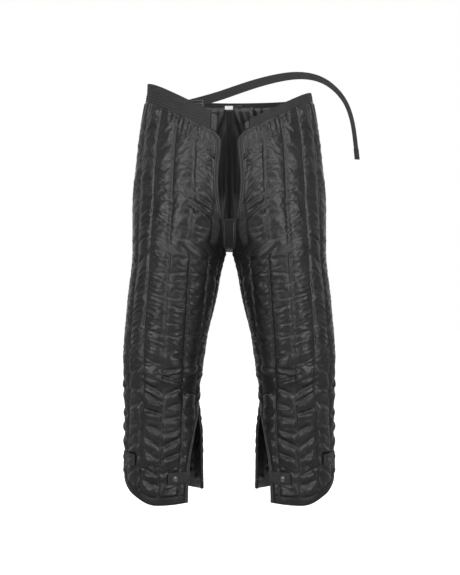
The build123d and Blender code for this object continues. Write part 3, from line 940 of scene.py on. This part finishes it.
def bar_tacks():
    """Short dense bars of zigzag thread across the top of each slit."""
    for side_name in SIDES:
        patch = Patch(351.0, 365.0, SLIT_TOP_Z + 3, SLIT_TOP_Z - 3, 9, 20)
        offset = patch.round_over(1.7, 0.7, 1.2)
        lines = [patch.line(distance, offset, "across") for distance in np.arange(1.0, 5.6, 0.75)]
        sewn_piece(f"{side_name}_slit_bar_tack", side_name, patch, offset, 0.7, BINDING, "binding_tape",
                   lines, "slit_bar_tacks", thread=LIGHT_THREAD, pitch=2.4, length=2.2, radius=0.36)


def seam_tapes():
    """The tapes over the side seams, the inseams and the centre back seam, inside the garment."""
    half = TAPE_WIDTH / 2
    runs = (("side_seam_tape", 180, float(waist_z(180.0)) - 2.8, float(hem_z(180.0)) + 3),
            ("inseam_tape", 360, CROTCH_Z - 45, SLIT_TOP_Z + 8))
    for side_name in SIDES:
        for name, middle, top, bottom in runs:
            patch = Patch(lambda z: middle - degrees_for(half, z), lambda z: middle + degrees_for(half, z),
                          top, bottom, 160, 5)
            ripple = 0.25 * noise(patch.across / 8, patch.down / 7, 81)
            sewn_piece(f"{side_name}_{name}", side_name, patch, SEAM_TAPE[0], SEAM_TAPE[1] + ripple,
                       BINDING, "binding_tape")
    back_seam_tape(half)


def back_seam_tape(half):
    top = float(waist_z(90.0)) - 11
    z, x = np.meshgrid(np.linspace(top, top - 278, 120), np.linspace(-half, half, 5), indexing="ij")
    centre, a, _, back = section(z)
    wall = back * np.sqrt(1 - np.minimum(1, centre / a) ** 2)
    near, far = (np.stack([x, wall + depth, z], axis=-1) for depth in SEAM_TAPE)
    far[..., 1] += 0.3 * noise(x / 4, z / 7, 82)
    uv = np.stack([x, z], axis=-1) * MM
    made = trimmed_object("centre_back_seam_tape", near[:, ::-1], far[:, ::-1], uv, BINDING)
    finish_piece(made, GARMENT, "binding_tape", "centre_back_seam_tape")


def crotch_gusset():
    """The gathered strip of cloth under the crotch, with a taped edge on its left."""
    heights = [-291, -302, -314, -326, -337, -345, -351]
    overlap = 0.8
    rows, columns = 90, 21

    def edge_points(edge, heights):
        places = [surface(edge(z), z) for z in heights]
        return [(-x + overlap, y, z) for x, y, z in places]
    front, back = edge_points(front_edge, heights), edge_points(back_edge, heights[:3:-1])
    route = np.array([*front, (front[-1][0], 0, CROTCH_Z - 3.5), *back])
    line = points_at(route, np.arange(len(route)), np.linspace(0, len(route) - 1, rows))
    for _ in range(2):
        line[1:-1] = (line[:-2] + 2 * line[1:-1] + line[2:]) / 4
    way = np.gradient(line, axis=0)
    out = np.stack([np.zeros(rows), way[:, 2], -way[:, 1]], axis=1)
    out /= np.linalg.norm(out, axis=1, keepdims=True)
    across = np.linspace(-1, 1, columns)
    distance = np.broadcast_to(line_lengths(line)[:, None], (rows, columns))
    gather = 0.5 * noise(across[None] * 1.2 + 5, distance / 6, 91)
    puff = 2.6 * (1 - np.abs(across)[None] ** 3) + gather * (1 - across[None] ** 4)
    base = np.stack([across * line[:, :1], 0 * across + line[:, 1:2], 0 * across + line[:, 2:3]], axis=-1)
    outer = base + out[:, None] * (puff[..., None] * 0.6)
    inner = base - out[:, None] * 1.2
    uv = np.stack([base[..., 0], distance], axis=-1) * MM
    edge = [outer[2:60, column] + out[2:60] * 0.15 for column in (1, 3, 16, 17, 19)]
    made = trimmed_object("crotch_gusset", outer[:, ::-1], inner[:, ::-1], uv[:, ::-1], PLAIN_SHELL, edge,
                          thread=LIGHT_THREAD, pitch=2.6, length=2.1, radius=0.32)
    finish_piece(made, GARMENT, "nylon_shell", "crotch_gusset")


# ---- waist ------------------------------------------------------------------------------------------
def waist_piece(name, side_name, start, end, height, columns, ribbed=False):
    """One elastic band: plain and gathered, or with sewn ribs over its lower part."""
    patch = Patch(start, end, lambda a: waist_z(a) + height(a), lambda a: waist_z(a) - BAND_OVERLAP,
                  90 if ribbed else 44, columns)
    above = patch.up - BAND_OVERLAP
    ruche = 0.28 * noise(patch.across / 2.2, above / 6, 101)
    ruche = ruche + 0.35 * noise(patch.across / 9, above / 30, 102)
    offset = patch.round_over(BAND[0], 0.0, 1.6) + ruche * smooth(patch.edge_distance(), 0, 3)
    if ribbed:
        rib = np.cos(above * 2 * np.pi / RIB_PITCH)
        part = smooth(above, 0.62 * height(0) + 2, 0.62 * height(0)) * smooth(above, 0, 1.5)
        offset += part * (0.45 * rib + 0.2 * noise(patch.across / 1.8, above / 2.2, 103) * (rib > 0))
    inner = BAND[1] - 0.25 * noise(patch.across / 2.4, above / 8, 104)
    lines = [patch.line(distance, offset + 0.05, "across") for distance in (1.8, -2.0)]
    if ribbed:
        lines.append(patch.line(0.37 * height(0), offset + 0.05, "across"))
    sewn_piece(name, side_name, patch, offset, inner, ELASTIC, "elastic", lines, radius=0.24)


def back_height(angle):
    angle = np.asarray(angle, float)
    side_height = np.where(angle > 90, BAND_HEIGHT_RIGHT, BAND_HEIGHT_LEFT)
    return BAND_HEIGHT_BACK + (side_height - BAND_HEIGHT_BACK) * ((angle - 90) / 90) ** 2


def waistbands():
    waist_piece("right_waistband", "right", 180.3, 258.5, constant(BAND_HEIGHT_RIGHT), 150, ribbed=True)
    waist_piece("left_waistband", "left", 180.3, 257.5, constant(BAND_HEIGHT_LEFT), 150)
    waist_piece("back_waistband", "right", 0.3, 179.7, back_height, 260)
    for name, side_name, start, end, top in (("right_band_end", "right", 258.9, 262.4, 33),
                                             ("left_band_end", "left", 257.9, 260.6, 14)):
        patch = Patch(start, end, lambda a: waist_z(a) + top, lambda a: waist_z(a) + 1, 40, 10)
        offset = patch.round_over(1.2, -0.4, 1.2)
        rows = np.arange(1.2, patch.across.max(), 1.5)
        lines = [patch.line(distance, offset, "down") for distance in rows]
        sewn_piece(name, side_name, patch, offset, -0.8, BINDING, "binding_tape", lines,
                   thread=LIGHT_THREAD, pitch=2.6, length=2.0, radius=0.3)


def label():
    """The blank label and its backing, which is sewn down all round."""
    for name, box, (high, low), material, slot_name, rows, sewn in (
            ("label_backing", (80.0, 95.3, -6.5, -22.0), (-6.8, -7.5), LINING_WITH_PAINTED_LIGHT, "binding_tape", 30, True),
            ("blank_label", (87.3, 93.3, -8.0, -16.5), (-8.0, -8.5), SATIN, "label_satin", 16, False)):
        patch = Patch(*box, rows, rows + 8)
        buckle = 0.25 * noise(patch.across / 12, patch.down / 9, 111)
        edges = [(distance, way) for distance in (1.4, -1.4) for way in ("down", "across")] if sewn else []
        lines = [patch.line(distance, low + buckle, way) for distance, way in edges]
        sewn_piece(name, "right", patch, high + buckle, low + buckle, material, slot_name, lines,
                   pitch=2.6, length=2.0, radius=0.25)


# ---- hem tabs and snaps ---------------------------------------------------------------------------
def hem_tabs():
    sewn_inner = float(front_edge(INNER_TAB_Z)) - 1.0
    for side_name in SIDES:
        for name, sewn, way, z in (("inner_tab", sewn_inner, -1, INNER_TAB_Z),
                                   ("outer_tab", OUTER_TAB_ANGLE, 1, OUTER_TAB_Z)):
            span = way * float(degrees_for(TAB_LENGTH, z))
            tab(f"{side_name}_{name}", side_name, sewn, span, z)
            snap_cap(f"{side_name}_{name}", side_name, sewn + SNAP_SHARE * span, z)


def tab(name, side_name, sewn, span, z):
    """A tab of doubled cloth with a rounded free end, a sewn border and a double row at its end."""
    s, t = np.meshgrid(np.linspace(0, 1, 44), np.linspace(-1, 1, 25), indexing="xy")
    reach = s * TAB_LENGTH
    corner = 3.5
    short = np.clip(reach - (TAB_LENGTH - corner), 0, corner)
    half = TAB_HEIGHT / 2 - corner + np.sqrt(corner ** 2 - short ** 2)
    height = t * half
    edge = np.minimum.reduce([half - np.abs(height), TAB_LENGTH - reach, reach])
    share = np.clip(edge / 1.6, 0, 1)
    high, low = TAB_LAYER
    belly = 0.55 * smooth(edge, 2.2, 6) + 0.25 * noise(reach / 9, height / 7, 121)
    groove = -0.35 * np.exp(-((edge - 2.4) / 0.7) ** 2)
    offset = low + (high - low) * (0.35 + 0.65 * np.sqrt(1 - (1 - share) ** 2)) + (belly + groove) * share
    from_snap = np.hypot(reach - SNAP_SHARE * TAB_LENGTH, height)
    under_snap = smooth(from_snap, 9, 6.5)
    offset = offset * (1 - under_snap) + (high + 0.1) * under_snap
    droop = 1.7 * (1 - smooth(from_snap, 15, 7)) * smooth(reach, 2, 9)
    offset -= droop
    under = low - droop
    angle = sewn + span * s
    outer, inner = surface(angle, z + height, offset), surface(angle, z + height, under)
    lines = [np.array([outer[i, k] for k in range(3, 42)]) for i in (2, 22)]
    lines += [outer[3:22, k] for k in (39, 36, 3)]
    if span > 0:
        outer, inner = outer[::-1], inner[::-1]
        reach, height = reach[::-1], height[::-1]
    uv = np.stack([reach, height], axis=-1) * MM
    made = trimmed_object(name, outer, inner, uv, TAB_CLOTH, lines, SIDES[side_name],
                          pitch=2.9, length=2.1, radius=0.27)
    finish_piece(made, f"{name}_body", "nylon_shell", name)


def snap_cap(name, side_name, angle, z):
    """A pressed steel cap: a rolled rim, a groove inside it and a low dome."""
    profile = [(0.0, 2.05), (1.6, 2.0), (3.0, 1.75), (3.9, 1.3), (4.3, 1.15), (4.7, 1.35), (5.2, 1.7),
               (5.7, 1.55), (6.0, 1.1), (5.95, 0.5), (5.6, 0.15), (4.6, 0.0), (0.0, 0.0)]
    foot = surface(angle, z, TAB_LAYER[0] + 0.15)
    out = surface(angle, z, TAB_LAYER[0] + 1.15) - foot
    up = np.array([0, 0, 1.0])
    aside = np.cross(out, up)
    turns = np.radians(np.arange(40) * 9)
    points, faces = [foot + out * profile[0][1]], []
    for radius, height in profile[1:-1]:
        points += list(foot + out * height + radius * (np.cos(turns)[:, None] * up
                                                       + np.sin(turns)[:, None] * aside))
    points.append(foot)
    rings = len(profile) - 2
    for k in range(40):
        after = (k + 1) % 40
        faces.append((0, 1 + k, 1 + after))
        for ring in range(rings - 1):
            a, b = 1 + ring * 40 + k, 1 + ring * 40 + after
            faces.append((a, a + 40, b + 40, b))
        last = 1 + (rings - 1) * 40
        faces.append((last + k, len(points) - 1, last + after))
    side = SIDES[side_name]
    if side < 0:
        faces = [face[::-1] for face in faces]
    points = np.array(points)
    uvs = points[:, [0, 2]] * MM
    made = make_object(f"{name}_pressed_cap", mirrored(points, side), faces, uvs, [METAL])
    finish_piece(made, f"{name}_body", "snap_metal", f"{name}_snap_cap")


# ---- strap, slider and other hardware ------------------------------------------------------------------
def route_points():
    """The strap's route, its control points in metres."""
    return [(x * MM, (STRAP_PLANE_Y + STRAP_PLANE_SLOPE * x) * MM, z * MM)
            for x, z in zip(STRAP_X, STRAP_Z)]


def spline_points(route):
    """Points along the smooth NURBS line of a route, in metres."""
    curve = bpy.data.curves.new("route", "CURVE")
    curve.dimensions = "3D"
    curve.resolution_u = 12
    spline = curve.splines.new("NURBS")
    spline.points.add(len(route) - 1)
    for point, place_at in zip(spline.points, route):
        point.co = (*place_at, 1)
    spline.order_u = 3
    spline.use_endpoint_u = True
    holder = bpy.data.objects.new("route", curve)
    bpy.context.scene.collection.objects.link(holder)
    mesh = bpy.data.meshes.new_from_object(holder.evaluated_get(bpy.context.evaluated_depsgraph_get()))
    points = np.array([vertex.co[:] for vertex in mesh.vertices])
    bpy.data.objects.remove(holder)
    bpy.data.curves.remove(curve)
    bpy.data.meshes.remove(mesh)
    return points


def strap():
    """The webbing strap: flat where it leaves the band, and turning as it arches over and hangs."""
    path = spline_points(route_points())
    line = path / MM
    along = line_lengths(line)
    wanted = np.linspace(0, along[-1], int(along[-1] / 2.0))
    line = points_at(line, along, wanted)
    way = np.gradient(line, axis=0)
    way /= np.linalg.norm(way, axis=1, keepdims=True)
    normal = np.array([STRAP_PLANE_SLOPE, -1.0, 0]) / math.hypot(STRAP_PLANE_SLOPE, 1)
    flat = np.cross(way, normal)
    turn = np.radians(STRAP_TWIST * smooth(wanted, 60, along[-1] - 40))[:, None]
    wide = flat * np.cos(turn) + normal * np.sin(turn)
    thick = np.cross(wide, way)
    piece = ribbon("waist_strap", line, wide, thick, STRAP_WIDTH, STRAP_THICKNESS)
    end = folded_end(line[-12:], wide[-12:], thick[-12:], way[-1])
    anchor(line[0], wide[0], thick[0], way[0])


def ribbon_profile(width, thickness):
    """Points round a flat band with rounded edges, as shares of wide and thick."""
    half, r = width / 2, thickness / 2
    flat = np.linspace(-half + r, half - r, 12)
    top = [(x, r + 0.12 * math.cos(x * 2 * math.pi / 3.4)) for x in flat]
    right = [(half - r + r * math.cos(a), r * math.sin(a)) for a in (math.pi / 4, 0, -math.pi / 4)]
    return top + right + [(-x, -y) for x, y in top] + [(-x, -y) for x, y in right]


def tube_mesh(line, wide, thick, profile):
    """A band swept along a line, closed at both ends."""
    rows, count = len(line), len(profile)
    shape = np.array(profile)
    points = (line[:, None] + wide[:, None] * shape[None, :, :1] + thick[:, None] * shape[None, :, 1:])
    faces = []
    for i in range(rows - 1):
        for k in range(count):
            a, b = i * count + k, i * count + (k + 1) % count
            faces.append((a, b, b + count, a + count))
    faces.append(tuple(range(count))[::-1])
    faces.append(tuple((rows - 1) * count + k for k in range(count)))
    uv = np.stack([np.broadcast_to(shape[:, 0], (rows, count)),
                   np.broadcast_to(line_lengths(line)[:, None], (rows, count))], axis=-1)
    return points.reshape(-1, 3), faces, uv.reshape(-1, 2) * MM


def ribbon(name, line, wide, thick, width, thickness, lines=()):
    """A band of webbing along a line, with rows of stitches."""
    mesh = tube_mesh(line, wide, thick, ribbon_profile(width, thickness))
    points, faces, uvs, indices = with_stitches(*mesh, lines, pitch=2.8, length=2.1, radius=0.34)
    made = make_object(name, points, faces, uvs, [WEBBING, DARK_THREAD], indices)
    make_normals_outward(made)
    return finish_piece(made, GARMENT, "webbing", name)


def make_normals_outward(made):
    work = bmesh.new()
    work.from_mesh(made.data)
    bmesh.ops.recalc_face_normals(work, faces=work.faces)
    work.to_mesh(made.data)
    work.free()


def folded_end(line, wide, thick, way):
    """The strap's end turned back on itself and sewn down with a box of stitches."""
    length = 24.0
    steps = np.linspace(0, length, 13)[:, None]
    middle = line[-1] + way * steps
    spread = np.broadcast_to(wide[-1], middle.shape)
    depth = np.broadcast_to(thick[-1], middle.shape)
    surface_gap = depth * 2.25
    rows = [middle + spread * x + surface_gap for x in (-7.6, 7.6)]
    cross = [np.linspace(middle[k] - wide[-1] * 7.6, middle[k] + wide[-1] * 7.6, 8) + thick[-1] * 2.25
             for k in (1, 3, 10)]
    back = [points - 2 * surface_gap[0] for points in [*rows, *cross]]
    return ribbon("strap_end", middle, spread, depth, 20.6, 4.2, [*rows, *cross, *back])


def anchor(start, wide, thick, way):
    """Where the strap is sewn to the inside of the band: a doubled end with a box of stitches."""
    steps = np.linspace(0, 10, 6)[:, None]
    middle = start - way * steps
    spread = np.broadcast_to(wide, middle.shape)
    depth = np.broadcast_to(thick, middle.shape)
    cross = [np.linspace(middle[k] - wide * 8, middle[k] + wide * 8, 8) + thick * 2.0 for k in (1, 4)]
    ribbon("strap_anchor", middle, spread, depth, 22.0, 3.8, cross)


def keep_cad(node, material):
    """Shows a CAD node as it is, in a finished material."""
    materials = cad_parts[node].data.materials
    materials.clear()
    materials.append(material)


def hardware():
    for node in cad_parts:
        if node.endswith("_snap_socket") or node in ("snap_studs", "snap_stud_backs"):
            keep_cad(node, METAL)
    keep_cad("strap_slider", PLASTIC)
    keep_cad("slider_keeper_loop", WEBBING)


# ---- camera, light and floor -------------------------------------------------------------------------
CAMERA_DISTANCE = 2.0
PIXEL = 0.00225                # metres of the object behind one pixel at its middle
IMAGE_HEIGHT = 575
CAMERA_Z = -0.437
CAMERA_X = 0.0016
FLOOR_Z = -0.985
FLOOR_REACH = 9.0


def camera():
    data = bpy.data.cameras.new("camera")
    data.sensor_width = 36
    data.lens = data.sensor_width * CAMERA_DISTANCE / (IMAGE_HEIGHT * PIXEL)
    made = bpy.data.objects.new("camera", data)
    made.location = (CAMERA_X, -CAMERA_DISTANCE, CAMERA_Z)
    made.rotation_euler = (math.pi / 2, 0, 0)
    bpy.context.scene.collection.objects.link(made)
    bpy.context.scene.camera = made


def area_light(name, location, target, size, power):
    data = bpy.data.lights.new(name, "AREA")
    data.shape = "RECTANGLE"
    data.size, data.size_y = size
    data.energy = power
    made = bpy.data.objects.new(name, data)
    made.location = location
    made.rotation_euler = (Vector(target) - Vector(location)).to_track_quat("-Z", "Y").to_euler()
    bpy.context.scene.collection.objects.link(made)


def studio():
    world = bpy.data.worlds.new("studio")
    sky = Nodes(world)
    depth = sky.split(sky.nodes.new("ShaderNodeTexCoord").outputs["Generated"])[1]
    light = sky.ramp(depth, 0.0, (0.46, 0.46, 0.46), 0.6, (0.9, 0.9, 0.9))
    background = sky.nodes["Background"].inputs
    sky.put(background["Color"], sky.mix(sky.camera_ray(), light, (1, 1, 1, 1)))
    background["Strength"].default_value = 1.0
    bpy.context.scene.world = world
    bpy.context.scene.view_settings.view_transform = "Standard"
    middle = (0, 0, -0.45)
    area_light("key", (-1.25, -1.75, 0.0), middle, (0.4, 1.8), 32)
    area_light("fill", (1.25, -1.75, 0.0), middle, (0.4, 1.8), 32)
    area_light("front", (0, -1.9, 0.75), (0, 0, -0.2), (0.9, 0.6), 11)
    area_light("top", (0, -0.7, 1.6), middle, (1.4, 0.9), 16)
    area_light("back", (0, 1.8, 0.6), middle, (1.6, 1.0), 16)
    corners = np.array([(x, y, FLOOR_Z) for x, y in (
        (-FLOOR_REACH, -FLOOR_REACH), (FLOOR_REACH, -FLOOR_REACH),
        (FLOOR_REACH, FLOOR_REACH), (-FLOOR_REACH, FLOOR_REACH))])
    floor = make_object("floor", corners / MM, [(0, 1, 2, 3)], materials=[floor_material()],
                        smooth_shade=False)


def floor_material():
    """Pale to the camera, and darker in what the cloth reflects."""
    look = Look("floor", 0.8, 0.2)
    seen = look.camera_ray()
    pale = look.ramp(look.noise(60.0), 0.3, (0.90, 0.90, 0.90), 0.7, (0.93, 0.93, 0.93))
    look.set("Base Color", look.mix(seen, (0.4, 0.4, 0.4, 1), pale))
    look.set("Emission Color", (1, 1, 1, 1))
    look.set("Emission Strength", look.math("MULTIPLY", seen, 0.5))
    return look.material


camera()
studio()
strap()
quilted_panels()
fly_and_slit_bindings()
knee_gussets()
bar_tacks()
seam_tapes()
crotch_gusset()
waistbands()
label()
hem_tabs()
hardware()
